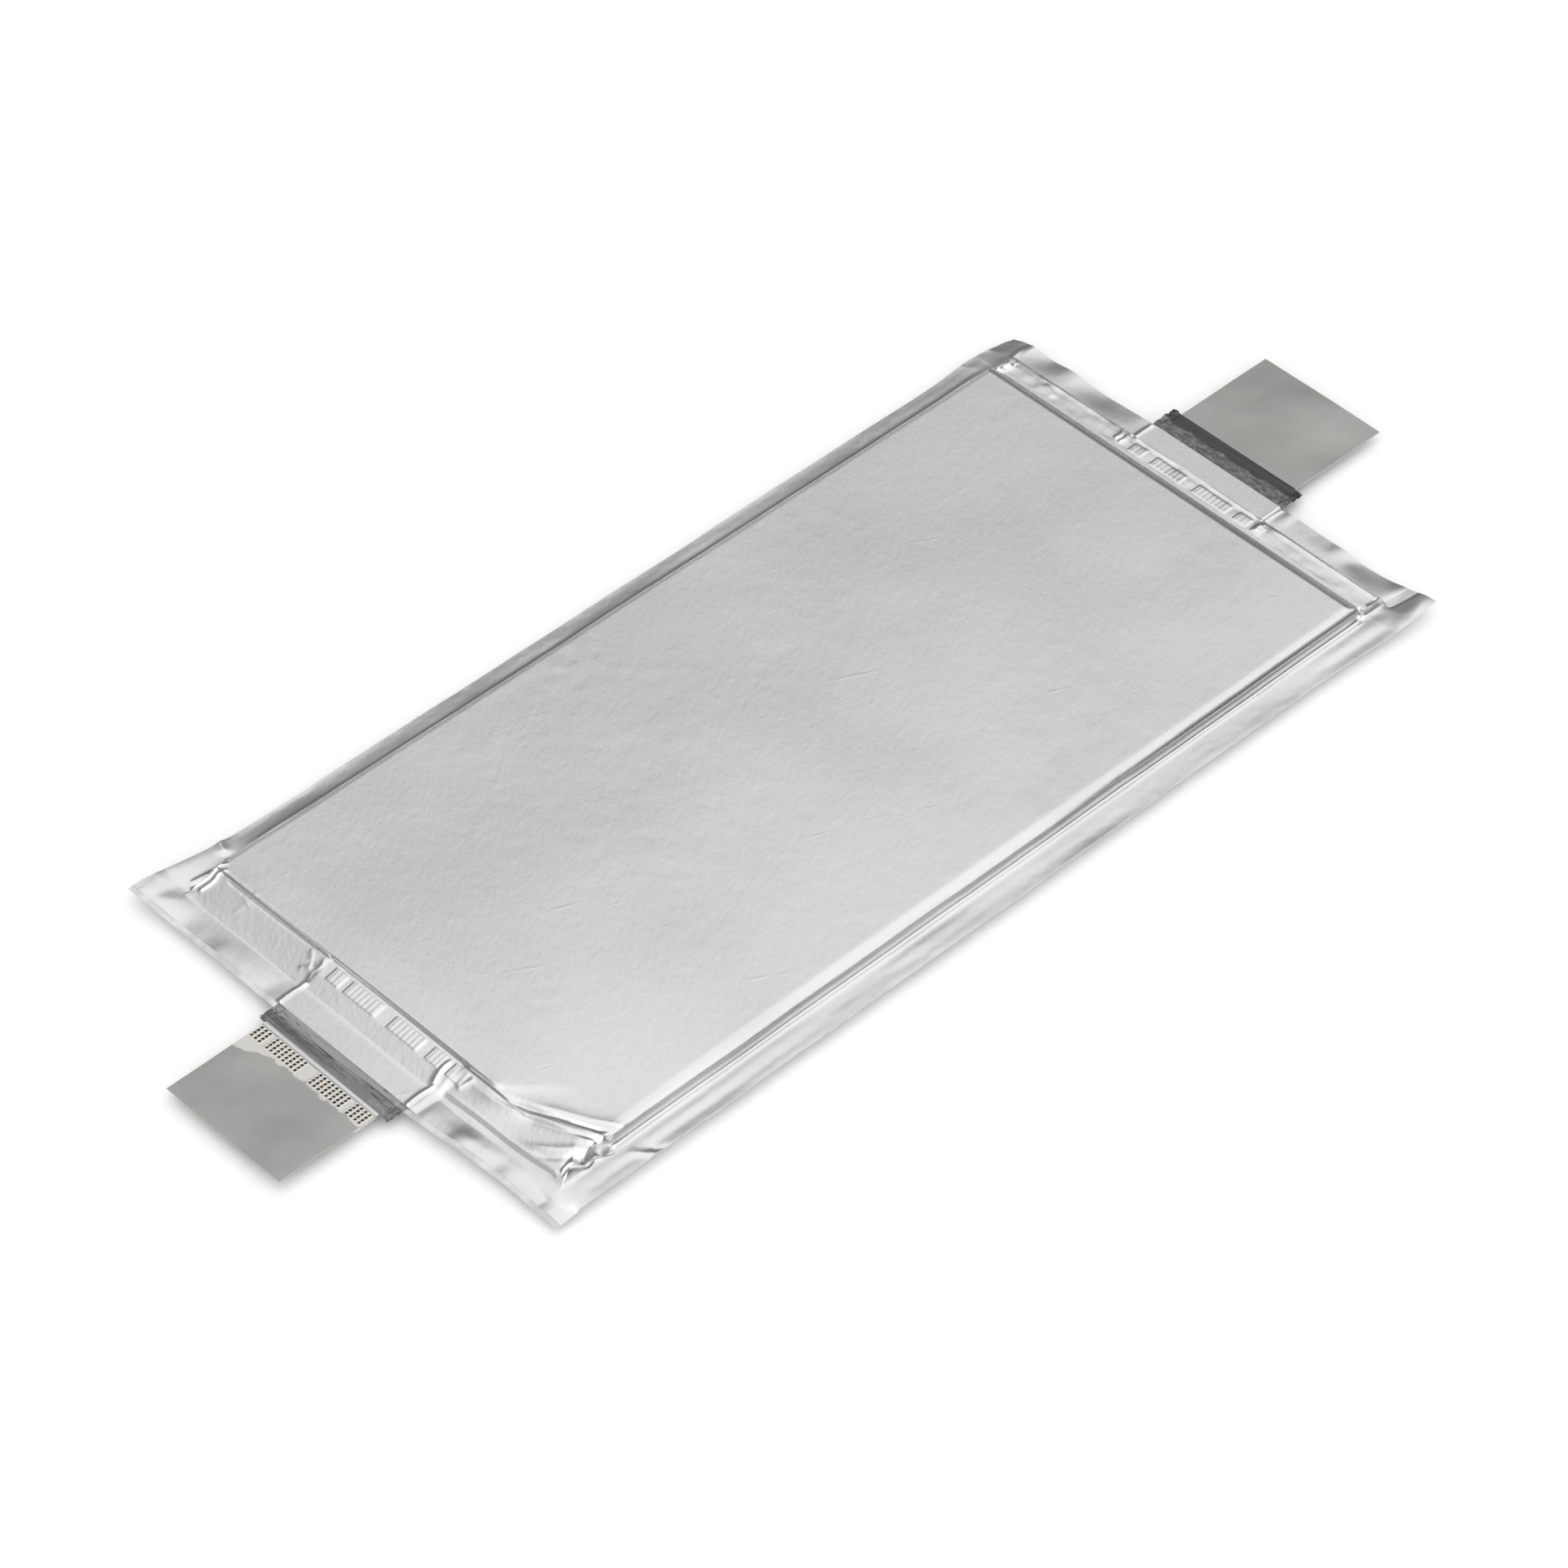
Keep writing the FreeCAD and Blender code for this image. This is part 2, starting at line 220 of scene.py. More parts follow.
def closed_sheet(name, x, y, z, thickness, up=True):
    """A closed sheet. The grids x, y, z are its outer face, in mm; its inner face lies thickness behind."""
    outer = np.stack([x, y, z + SEAM], axis=-1)
    normal = np.cross(np.gradient(outer, axis=1), np.gradient(outer, axis=0))
    normal /= np.maximum(np.linalg.norm(normal, axis=-1, keepdims=True), 1e-9)
    inner = outer - (1 if up else -1) * thickness * normal
    rows, cols = x.shape
    count = rows * cols
    k = np.arange(count).reshape(rows, cols)
    quads = np.stack([k[:-1, :-1], k[:-1, 1:], k[1:, 1:], k[1:, :-1]], axis=-1).reshape(-1, 4)
    rim = np.concatenate([k[0, :-1], k[:-1, -1], k[-1, :0:-1], k[:0:-1, 0]])
    after = np.roll(rim, -1)
    walls = np.stack([rim, rim + count, after + count, after], axis=-1)
    faces = np.vstack([quads, quads[:, ::-1] + count, walls])
    if not up:
        faces = faces[:, ::-1]
    mesh = bpy.data.meshes.new(name)
    mesh.from_pydata(np.vstack([outer.reshape(-1, 3), inner.reshape(-1, 3)]) * MM, [], faces.tolist())
    mesh.shade_smooth()
    mesh.set_sharp_from_angle(angle=math.radians(SHARP_ANGLE))
    piece = bpy.data.objects.new(name, mesh)
    bpy.context.scene.collection.objects.link(piece)
    return piece, len(quads)


def stand_for(piece, node, record_slot, *materials):
    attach(piece, "root")
    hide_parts(node)
    for made in materials:
        piece.data.materials.append(made)


# ---------------------------------------------------------------- materials


class Surface:
    """A Principled material, with short helpers for the procedural nodes that feed it."""

    def __init__(self, name, **sockets):
        self.material = bpy.data.materials.new(name)
        self.material.use_nodes = True
        self.nodes = self.material.node_tree.nodes
        self.links = self.material.node_tree.links
        self.shader = self.nodes["Principled BSDF"]
        self.place = self.nodes.new("ShaderNodeTexCoord").outputs["Object"]
        for socket, value in sockets.items():
            self.shader.inputs[socket.replace("_", " ")].default_value = value

    def feed(self, socket, value):
        if isinstance(value, bpy.types.NodeSocket):
            self.links.new(value, socket)
        else:
            socket.default_value = value

    def noise(self, per_m, detail=3.0, stretch=(1, 1, 1), turn=0.0, warp=0.0, rough=0.5):
        turned = self.nodes.new("ShaderNodeMapping")
        turned.inputs["Rotation"].default_value = (0, 0, -math.radians(turn))
        self.links.new(self.place, turned.inputs["Vector"])
        mapping = self.nodes.new("ShaderNodeMapping")
        mapping.inputs["Scale"].default_value = stretch
        self.links.new(turned.outputs["Vector"], mapping.inputs["Vector"])
        noise = self.nodes.new("ShaderNodeTexNoise")
        noise.inputs["Scale"].default_value = per_m
        noise.inputs["Detail"].default_value = detail
        noise.inputs["Roughness"].default_value = rough
        noise.inputs["Distortion"].default_value = warp
        self.links.new(mapping.outputs["Vector"], noise.inputs["Vector"])
        return noise.outputs["Fac"]

    def axis(self, index):
        """The X, Y or Z place on the object, in metres."""
        split = self.nodes.new("ShaderNodeSeparateXYZ")
        self.links.new(self.place, split.inputs[0])
        return split.outputs[index]

    def combine(self, a, b, operation="ADD"):
        node = self.nodes.new("ShaderNodeMath")
        node.operation = operation
        self.feed(node.inputs[0], a)
        self.feed(node.inputs[1], b)
        return node.outputs[0]

    def spread(self, value, low, high, to_low=0.0, to_high=1.0):
        """Maps low..high of a value to to_low..to_high, smoothly and clamped."""
        node = self.nodes.new("ShaderNodeMapRange")
        node.interpolation_type = "SMOOTHSTEP"
        self.feed(node.inputs["Value"], value)
        node.inputs["From Min"].default_value = low
        node.inputs["From Max"].default_value = high
        node.inputs["To Min"].default_value = to_low
        node.inputs["To Max"].default_value = to_high
        return node.outputs["Result"]

    def blend(self, share, first, second):
        node = self.nodes.new("ShaderNodeMix")
        node.data_type = "RGBA"
        self.feed(node.inputs[0], share)
        for socket, colour in ((node.inputs[6], first), (node.inputs[7], second)):
            self.feed(socket, (*colour, 1.0) if isinstance(colour, tuple) else colour)
        return node.outputs[2]

    def colour(self, value):
        self.links.new(value, self.shader.inputs["Base Color"])

    def roughness(self, value):
        self.links.new(value, self.shader.inputs["Roughness"])

    def relief(self, *layers):
        """Stacks bump layers of (height, depth in mm)."""
        normal = None
        for height, depth in layers:
            bump = self.nodes.new("ShaderNodeBump")
            bump.inputs["Strength"].default_value = 1.0
            bump.inputs["Distance"].default_value = depth * MM
            self.links.new(height, bump.inputs["Height"])
            if normal is not None:
                self.links.new(normal, bump.inputs["Normal"])
            normal = bump.outputs["Normal"]
        self.links.new(normal, self.shader.inputs["Normal"])
        return self.material


def laminate_outside():
    """Nylon over aluminium foil: satin silver, with a fine pressed grain and faint handling marks."""
    s = Surface("laminate_outside", Metallic=1.0, Coat_Weight=0.25, Coat_Roughness=0.16)
    clouds = s.noise(28, 3, rough=0.45)
    grain = s.noise(900, 3, stretch=(0.55, 1, 1), turn=-44, rough=0.55)
    rolling = s.noise(400, 3, stretch=(0.55, 1, 1), turn=-44, rough=0.5)
    scratches = s.noise(300, 3, stretch=(0.1, 1, 1), turn=65, warp=0.4)
    mark = s.combine(s.spread(scratches, 0.66, 0.72), s.spread(s.noise(45, 3), 0.52, 0.62), "MULTIPLY")
    s.colour(s.blend(s.spread(clouds, 0.35, 0.65), (0.79, 0.80, 0.81), (0.86, 0.865, 0.87)))
    s.roughness(s.combine(s.spread(clouds, 0.3, 0.7, 0.255, 0.29), s.spread(mark, 0, 1, 0, 0.06)))
    return s.relief((rolling, 0.026), (grain, 0.028), (mark, 0.014))


def laminate_inside():
    """The polypropylene face: milky and matte over the foil."""
    s = Surface("laminate_inside", Metallic=0.35)
    haze = s.noise(240, 4)
    s.colour(s.blend(s.spread(haze, 0.35, 0.65), (0.60, 0.60, 0.59), (0.74, 0.74, 0.73)))
    s.roughness(s.spread(haze, 0.3, 0.7, 0.45, 0.62))
    return s.relief((s.noise(700, 3), 0.03))


def nickel(name, dull, bright):
    """Nickel-plated copper: warm grey, with soft clouds and a faint rolling grain."""
    s = Surface(name, Metallic=1.0)
    clouds = s.noise(48, 3)
    streaks = s.noise(300, 3, stretch=(1, 0.12, 1), warp=0.2)
    shade = s.combine(s.spread(clouds, 0.3, 0.7, 0, 0.8), s.spread(streaks, 0.3, 0.7, 0, 0.2))
    s.colour(s.blend(shade, dull, bright))
    s.roughness(s.spread(clouds, 0.3, 0.7, 0.27, 0.36))
    return s.relief((s.noise(900, 2), 0.004), (s.noise(420, 2, stretch=(1, 0.3, 1)), 0.004))


def welded_nickel(dull, bright, pit_low, pit_high):
    """The same plating, whitened by the weld at its inner end. Inside the weld pits the colour is painted
    shade that goes near-black with depth, over a dull copper tint where the plating is worn.
    """
    s = Surface("nickel_positive", Metallic=1.0)
    clouds = s.noise(48, 3)
    tone = s.blend(s.spread(clouds, 0.3, 0.7), dull, bright)
    reach = s.combine(s.axis(1), s.spread(s.axis(0), -0.019, -0.005, 0.0036, 0.0))
    ragged = s.combine(reach, s.spread(s.noise(260, 2), 0.3, 0.7, -0.0006, 0.0006))
    mist = s.spread(ragged, -0.1464, -0.1458)
    tone = s.blend(mist, tone, (0.88, 0.87, 0.82))
    # painted shade: the deeper a point lies in a weld pit, the nearer its colour goes to near-black, mixed
    # with a dull copper tint
    inside = s.spread(s.axis(2), pit_low, pit_high, 1.0, 0.0)
    pit_shade_and_copper = s.blend(s.spread(s.noise(900, 2), 0.45, 0.6), (0.035, 0.03, 0.025), (0.20, 0.09, 0.05))
    s.colour(s.blend(s.combine(inside, mist, "MULTIPLY"), tone, pit_shade_and_copper))
    s.roughness(s.combine(s.spread(clouds, 0.3, 0.7, 0.27, 0.36), s.spread(mist, 0, 1, 0, 0.12)))
    return s.relief((s.noise(900, 2), 0.004), (s.noise(420, 2, stretch=(1, 0.3, 1)), 0.004))


def bare_aluminium():
    s = Surface("bare_aluminium", Metallic=1.0)
    streaks = s.noise(350, 3, stretch=(0.06, 1, 1))
    s.colour(s.blend(s.spread(streaks, 0.35, 0.65), (0.74, 0.74, 0.75), (0.88, 0.88, 0.89)))
    s.roughness(s.spread(streaks, 0.3, 0.7, 0.2, 0.34))
    return s.relief((streaks, 0.01))


def sealant_film(name, dark, light, streak_low, streak_high, ink_from=None, rough_band=None):
    """Acid-modified polypropylene, hot-pressed on the tab: smoky, with flow lines along its length."""
    s = Surface(name, Coat_Weight=0.35, Coat_Roughness=0.12)
    lines = s.noise(520, 4, stretch=(0.035, 1, 1), warp=0.35, rough=0.6)
    mottle = s.noise(900, 4, stretch=(0.5, 1, 1))
    shade = s.combine(s.spread(lines, streak_low, streak_high, 0, 0.75), s.spread(mottle, 0.4, 0.7, 0, 0.25))
    if ink_from is not None:
        flow = s.combine(s.noise(1300, 1, stretch=(0.03, 1, 1), warp=0.8), 0.5, "SUBTRACT")
        ink = s.spread(s.combine(flow, flow, "MULTIPLY"), 0.0, 0.0012, 1.0, 0.0)
        inner = s.spread(s.axis(1), ink_from, ink_from + 0.0008)
        edge = s.combine(s.axis(1), s.spread(s.axis(0), -0.02, 0.02, 0.0006, -0.0003))
        clear = s.spread(edge, -0.1368, -0.1365, 0.0, 0.8)
        shade = s.combine(s.combine(shade, clear), s.combine(ink, inner, "MULTIPLY"), "SUBTRACT")
    if rough_band is not None:
        edge = s.combine(s.axis(1), s.spread(s.noise(180, 3), 0.3, 0.7, -0.0005, 0.0005))
        beside = s.spread(edge, rough_band, rough_band + 0.0003, 1.0, 0.0)
        specks = s.spread(s.noise(1100, 5, stretch=(0.4, 1, 1), rough=0.7), 0.42, 0.62, 0.25, 1.0)
        shade = s.combine(s.combine(shade, 0.12, "MULTIPLY"), s.combine(beside, specks, "MULTIPLY"))
    s.colour(s.blend(shade, dark, light))
    s.roughness(s.spread(mottle, 0.3, 0.7, 0.28, 0.45))
    return s.relief((lines, 0.04), (mottle, 0.02))


def coating(name, grey, grain_per_m, tail_side, tail_from, foil):
    """A pressed electrode coating, and bare foil on its tail, which starts tail_from metres out in Y."""
    s = Surface(name)
    grain = s.noise(grain_per_m, 5, rough=0.7)
    patches = s.noise(60, 2)
    powder = s.blend(s.spread(grain, 0.35, 0.65), (grey * 0.7,) * 3, (grey * 1.3,) * 3)
    reach = s.combine(s.axis(1), tail_side, "MULTIPLY")
    tail = s.spread(reach, tail_from, tail_from + 0.0004)
    s.colour(s.blend(tail, powder, foil))
    s.links.new(tail, s.shader.inputs["Metallic"])
    s.roughness(s.combine(s.spread(patches, 0.3, 0.7, 0.62, 0.75), s.spread(tail, 0, 1, 0, 0.35), "SUBTRACT"))
    return s.relief((grain, 0.01))


def porous_white():
    s = Surface("separator_white")
    fibres = s.noise(1200, 4, stretch=(1, 0.3, 1))
    s.colour(s.blend(s.spread(fibres, 0.35, 0.65), (0.84, 0.84, 0.83), (0.93, 0.93, 0.92)))
    s.roughness(s.spread(fibres, 0.3, 0.7, 0.5, 0.65))
    return s.relief((fibres, 0.01))


def tape(name, dark, light):
    s = Surface(name, Coat_Weight=0.4, Coat_Roughness=0.1)
    ripples = s.noise(180, 3, stretch=(1, 0.3, 1))
    s.colour(s.blend(s.spread(ripples, 0.3, 0.7), dark, light))
    s.roughness(s.spread(ripples, 0.3, 0.7, 0.25, 0.4))
    return s.relief((ripples, 0.02))


# ---------------------------------------------------------------- the shape of the pouch


def drawn_wall(x, y):
    """Height of the long sides: crisp on the left, bevelled on the right and rounder to the negative end."""
    left = ((57.6, PLATEAU), (58.5, 3.45), (58.9, 3.36), (59.0, 3.1), (59.05, 0.5), (59.3, 0.2), (59.8, 0.0))
    bevelled = ((56.0, PLATEAU), (57.2, 3.44), (57.8, 3.2), (58.25, 2.98), (58.3, 2.6), (58.38, 0.75),
                (58.6, 0.38), (59.2, 0.14), (60.3, 0.0))
    rounded = ((56.0, PLATEAU), (57.2, 3.44), (57.7, 3.12), (58.1, 2.68), (58.3, 2.3), (58.38, 1.8),
               (58.45, 0.75), (58.7, 0.35), (59.2, 0.14), (60.3, 0.0))
    far = smooth((y - 5) / 75)
    right = soft_profile(x, bevelled, 0.1) * (1 - far) + soft_profile(x, rounded, 0.06) * far
    gathered = ((51.5, PLATEAU), (55.0, 2.9), (57.4, 2.0), (58.7, 1.1), (59.6, 0.4), (60.6, 0.0))
    corner = smooth((-114.5 - y) / 6)
    right = right * (1 - corner) + soft_profile(x, gathered, 0.3) * corner
    return np.where(x > 0, right, soft_profile(-x, left, 0.04))


def positive_end(x, y):
    """Height of the pouch over the positive end, from plateau to flange, without its folds."""
    left = ((-128.6, LAMINATE), (-128.0, 0.35), (-126.6, 0.8), (-120.5, 2.85), (-120.25, 2.93),
            (-120.0, 3.43), (-119.6, PLATEAU))
    middle = ((-129.0, LAMINATE + FILM_LIFT), (-128.2, 0.55), (-124.4, 1.8), (-120.2, 2.8), (-119.9, 2.88),
              (-119.6, 3.42), (-119.2, PLATEAU))
    right = ((-127.8, LAMINATE), (-126.8, 0.35), (-125.8, 0.8), (-122.0, 1.9), (-118.8, 2.85), (-116.8, 3.35),
             (-115.2, PLATEAU))
    z_left = soft_profile(y, left, 0.09)
    z_middle = soft_profile(y, middle, 0.09)
    z_right = soft_profile(y, right, 0.7)
    tab = smooth((x + 22.0) / 2.0) * (1 - smooth((x - 21.5) / 2.5))
    far_right = smooth((x - PULL_FROM) / PULL_OVER)
    z = z_left * (1 - tab) + z_middle * tab
    return z * (1 - far_right) + z_right * far_right


def negative_end(x, y):
    """Height over the negative end: a groove beside the plateau, a flat terrace, a crisp outer edge."""
    points = ((118.3, PLATEAU), (118.9, 3.4), (120.2, 2.84), (120.5, 1.95), (121.2, 1.78), (125.0, 1.85),
              (127.4, 1.75), (127.9, 1.4), (128.5, LAMINATE))
    return soft_profile(y, points, 0.15)


def weld_imprint(x, y, y_low, y_high, groups):
    """Ribbed pads that the welded foils raise on a terrace. groups are (low X, high X, rib share)."""
    z = np.zeros_like(x)
    for low, high, rib_height in groups:
        across = smooth((x - low) / 0.4) * smooth((high - x) / 0.9)
        along = smooth((y - y_low) / 0.3) * smooth((y_high - y) / 0.6)
        ribs = np.cos((x - low) * 2 * math.pi / RIB_PITCH)
        z += across * along * (0.12 + rib_height * 0.013 * ribs)
    return z


def outside_foot(x, y):
    """Distance outside the pocket and terraces, across the flange."""
    dx = np.maximum(np.abs(x) - FOOT_X, 0)
    dy = np.maximum(np.maximum(POSITIVE_FOOT_Y - y, y - NEGATIVE_FOOT_Y), 0)
    return np.hypot(dx, dy)


def end_waves(x, y):
    """The rolling of the flange beside the tabs: set waves on the left, restless ones on the right."""
    far_wave = ((-68.0, -0.7), (-61.0, 0.4), (-53.5, -0.75), (-46.5, 0.35), (-36.0, -0.75), (-24.0, 0.05),
                (0.0, 0.05))
    near_wave = ((-68.0, 0.2), (-62.0, 0.3), (-54.0, -0.3), (-43.0, 0.25), (-32.0, 0.2), (-25.0, -0.2),
                 (0.0, -0.2))
    ripples = value_noise(x, y * 0.5, 4.5, 12)
    left = np.where(y > 0, soft_profile(x, far_wave, 2.0), soft_profile(x, near_wave, 2.5)) + 0.07 * ripples
    right = 0.75 * value_noise(x, y * 0.3, 9.5, 11) + 0.25 * ripples - 0.15
    return np.where(x > 0, right, left)


def side_waves(x, y, grow):
    """The droop, waves and lengthwise lines of the flange along the pocket's long sides."""
    long_side = smooth((np.abs(x) - FOOT_X) / 3.0)
    z = np.where(x < 0, -0.45, 0.0) * grow * long_side
    z += long_side * grow * (0.16 * value_noise(x * 0.3, y, 19, 3) + 0.03 * value_noise(x, y, 7, 4))
    z += long_side * (0.07 * value_noise(x, y * 0.12, 2.7, 7) + 0.012 * value_noise(x, y * 0.5, 1.3, 8))
    lengthwise = soft_profile(x, ((60.0, 0.0), (62.0, 0.04), (64.2, -0.07), (66.4, 0.08)), 0.5)
    z += lengthwise * (0.5 + 0.9 * value_noise(x * 0.2, y, 24, 9)) * smooth((126.0 - np.abs(y)) / 6.0)
    sway = 0.25 * long_side * grow * value_noise(x * 0.1, y, 14, 5)
    return z, sway


def flange_drift(x, y):
    """How both sheets of the flange stray from flat, as shifts in X, Y and Z."""
    grow = smooth(outside_foot(x, y) / 7.0)
    beside_tab = smooth((np.abs(x) - FILM_X) / 5.0)
    ends = smooth((np.abs(y) - 126.5) / 3.0) * beside_tab
    side_z, sway = side_waves(x, y, grow)
    left, right = x + FLANGE_X, x - FLANGE_X
    near, far = y + FLANGE_Y, y - FLANGE_Y
    near_left = hump(left / 9) * hump(near / 17)
    near_right = hump(right / 7) * hump(near / 7)
    far_left = hump(left / 2.6) * hump(far / 2.6)
    far_right = hump(right / 9) * hump(far / 10)
    left_bay = hump(left / 9) * hump((y - 121) / 9)
    right_flare = hump(right / 9) * hump(far / 22)
    near_trim = smooth((x - 22) / 30) * smooth((-y - 127) / 6)
    z = side_z + ends * grow * end_waves(x, y) + grow * (2.1 * near_left - 0.9 * near_right + 2.0 * far_right)
    shift_x = sway + grow * (0.6 * far_left + 1.3 * right_flare - 1.5 * near_left - left_bay)
    shift_y = grow * (1.9 * near_trim + 0.6 * far_right - 1.2 * near_left - 0.8 * far_left)
    return shift_x, shift_y, z


def plateau_life(x, y):
    """The soft swell and the fine crumpling of the top face. It only ever rises from the stack."""
    pulled = smooth((x - PULL_FROM) / PULL_OVER)
    across = smooth((FOOT_X - 0.7 - x) / 2.9) * smooth((FOOT_X - 0.15 + x) / 0.4)
    along = smooth((y + 119.9 - 4.2 * pulled) / (0.7 + 7.3 * pulled)) * smooth((118.6 - y) / 0.8)
    swell = 0.06 + 0.06 * value_noise(x, y, 45, 21) + 0.008 * value_noise(x, y, 14, 22)
    swell = swell + 0.1 * smooth((y + 121) / 12)
    full = smooth((x + 58) / 90) * smooth((117 - y) / 160)
    drawn_in = hump((x - 62) / 28) * hump((y + 120) / 36)
    swell = (swell + 0.35 * full) * (1 - drawn_in)
    patches = 0.1 + smooth(value_noise(x, y, 26, 25) * 0.8 + 0.4)
    for at_x, at_y, wide, long, share in RUMPLED:
        patches += share * hump((x - at_x) / wide) * hump((y - at_y) / long)
    return across * along * (swell + 0.009 * patches * value_noise(x, y, 3.6, 23))


def positive_end_folds(z, x, y):
    """Folds where the pouch is drawn in over the positive end."""

    def fold(*route, **kind):
        add_fold(z, x, y, route, **kind)

    # the thin crease along the foot of the plateau
    fold((-55, -120.9), (-38, -120.8), (-24, -120.4),
         width=0.28, height=-0.14, crisp=0.6, ends=(0.1, 0.1))
    fold((-18, -120.0), (0, -119.8), (20, -119.9), (31, -119.5),
         width=0.26, height=-0.12, crisp=0.6, ends=(0.05, 0.1))
    # the crest of the plateau's pulled-back corner, with the valley below it
    fold((26, -119.4), (33, -118.9), (40, -117.4), (46.7, -114.2), (52.5, -111.4), (58.8, -107.2),
         width=(1.5, 0.5), height=0.18, crisp=0.8, ends=(0.4, 0.02))
    fold((30, -120.6), (36, -119.9), (42.5, -117.6), (48, -115.2), (54, -112.7), (58, -110.6),
         width=(0.4, 1.2), height=-0.4, crisp=0.7, ends=(0.3, 0.1))
    # the second fold, down to the pinch at the corner
    fold((25, -122.2), (33, -121.9), (40, -120.2), (44.5, -118.4), (50.5, -117.0), (57.5, -115.4),
         width=(0.9, 1.4), height=0.25, crisp=0.6, ends=(0.3, 0.05))
    fold((38, -121.4), (43, -119.9), (48, -118.2), (53.5, -116.0), (58, -113.6),
         width=(0.6, 1.2), height=-0.4, crisp=0.6, ends=(0.3, 0.05))
    fold((57.4, -115.6), (58.7, -113.6), (59.5, -111.6),
         width=0.55, height=-1.0, crisp=0.5, ends=(0.2, 0.2))
    fold((44, -125.0), (48.5, -123.6), (53, -120.8), (58, -116.6),
         width=1.0, height=0.28, crisp=0.5, ends=(0.4, 0.05))
    fold((48, -125.3), (53, -123.4), (58.4, -119.0), width=0.7, height=-0.2, crisp=0.5, ends=(0.4, 0.1))
    # terrace's outer crease
    fold((23, -126.6), (34, -126.1), (46, -125.8), (57.5, -124.9),
         width=(0.4, 0.6), height=0.2, crisp=0.9, ends=(0.1, 0.05))
    fold((22, -127.8), (34, -127.2), (46, -126.9), (57.5, -125.9),
         width=0.35, height=-0.14, crisp=0.7, ends=(0.1, 0.05))
    # short bright wedges running out of the pinch
    fold((51, -114.8), (55, -113.6), (58.6, -112.4), width=0.7, height=0.2, crisp=0.7, ends=(0.5, 0.05))
    fold((53.5, -116.6), (56.5, -115.4), (58.8, -113.8),
         width=0.5, height=0.2, crisp=0.7, ends=(0.5, 0.05))
    # the pinch, and the crinkled gathers between it and the flange
    fold((57.9, -111.6), (59.3, -113.4), width=0.75, height=-0.9, crisp=0.3, ends=(0.0, 0.0))
    fold((58.6, -114.6), (57.6, -117.5), (58.3, -120.0), (57.0, -122.5), (57.6, -125.4),
         width=0.4, height=0.3, crisp=0.7)
    fold((60.0, -114.0), (59.0, -116.8), (59.5, -119.4), (58.3, -122.4), (58.6, -125.8),
         width=0.4, height=0.28, crisp=0.7)
    fold((56.8, -118.4), (56.0, -121.0), (56.6, -124.0), width=0.5, height=-0.18, crisp=0.6)
    # the left corner: pleats side by side, where the wall is gathered
    fold((-55.6, -118.9), (-57.2, -120.8), (-56.8, -123.0), (-57.6, -126.6),
         width=0.5, height=0.28, crisp=0.7, ends=(0.25, 0.1))
    fold((-57.2, -117.4), (-58.6, -120.2), (-58.6, -123.3), (-59.7, -127.3),
         width=(0.35, 0.5), height=0.45, crisp=0.8, ends=(0.3, 0.1))
    fold((-58.6, -116.0), (-60.2, -119.6), (-60.7, -122.8), (-61.0, -126.4),
         width=0.5, height=0.35, crisp=0.7, ends=(0.3, 0.2))
    fold((-57.9, -118.6), (-59.5, -121.6), (-60.1, -125.6), width=0.35, height=-0.3, crisp=0.6)
    # the cross-shaped dent on the left of the terrace, and the puckers beside the film
    fold((-46.9, -125.6), (-46.5, -121.8), (-46.1, -118.4), width=0.35, height=0.06, crisp=0.8)
    fold((-48.4, -121.7), (-46.4, -122.0), (-44.2, -122.4), width=0.3, height=0.05, crisp=0.8)
    fold((-26.4, -120.8), (-24.2, -122.8), (-22.6, -125.6), width=0.7, height=0.09, crisp=0.5)
    fold((-22.3, -120.6), (-21.2, -122.4), (-21.6, -124.8), (-20.9, -127.0),
         width=0.6, height=0.15, crisp=0.6)
    fold((-25.2, -125.9), (-23.4, -124.6), (-21.6, -124.9), width=0.7, height=0.1, crisp=0.5)
    fold((-24.6, -123.6), (-23.4, -123.0), (-22.6, -123.6), width=0.6, height=-0.08, crisp=0.4)
    fold((19.2, -120.3), (18.8, -122.8), (19.3, -125.3), (20.4, -127.8),
         width=0.75, height=0.3, crisp=0.5)
    fold((26.5, -120.6), (25.6, -122.6), (24.8, -125.0), width=0.8, height=0.16, crisp=0.4)


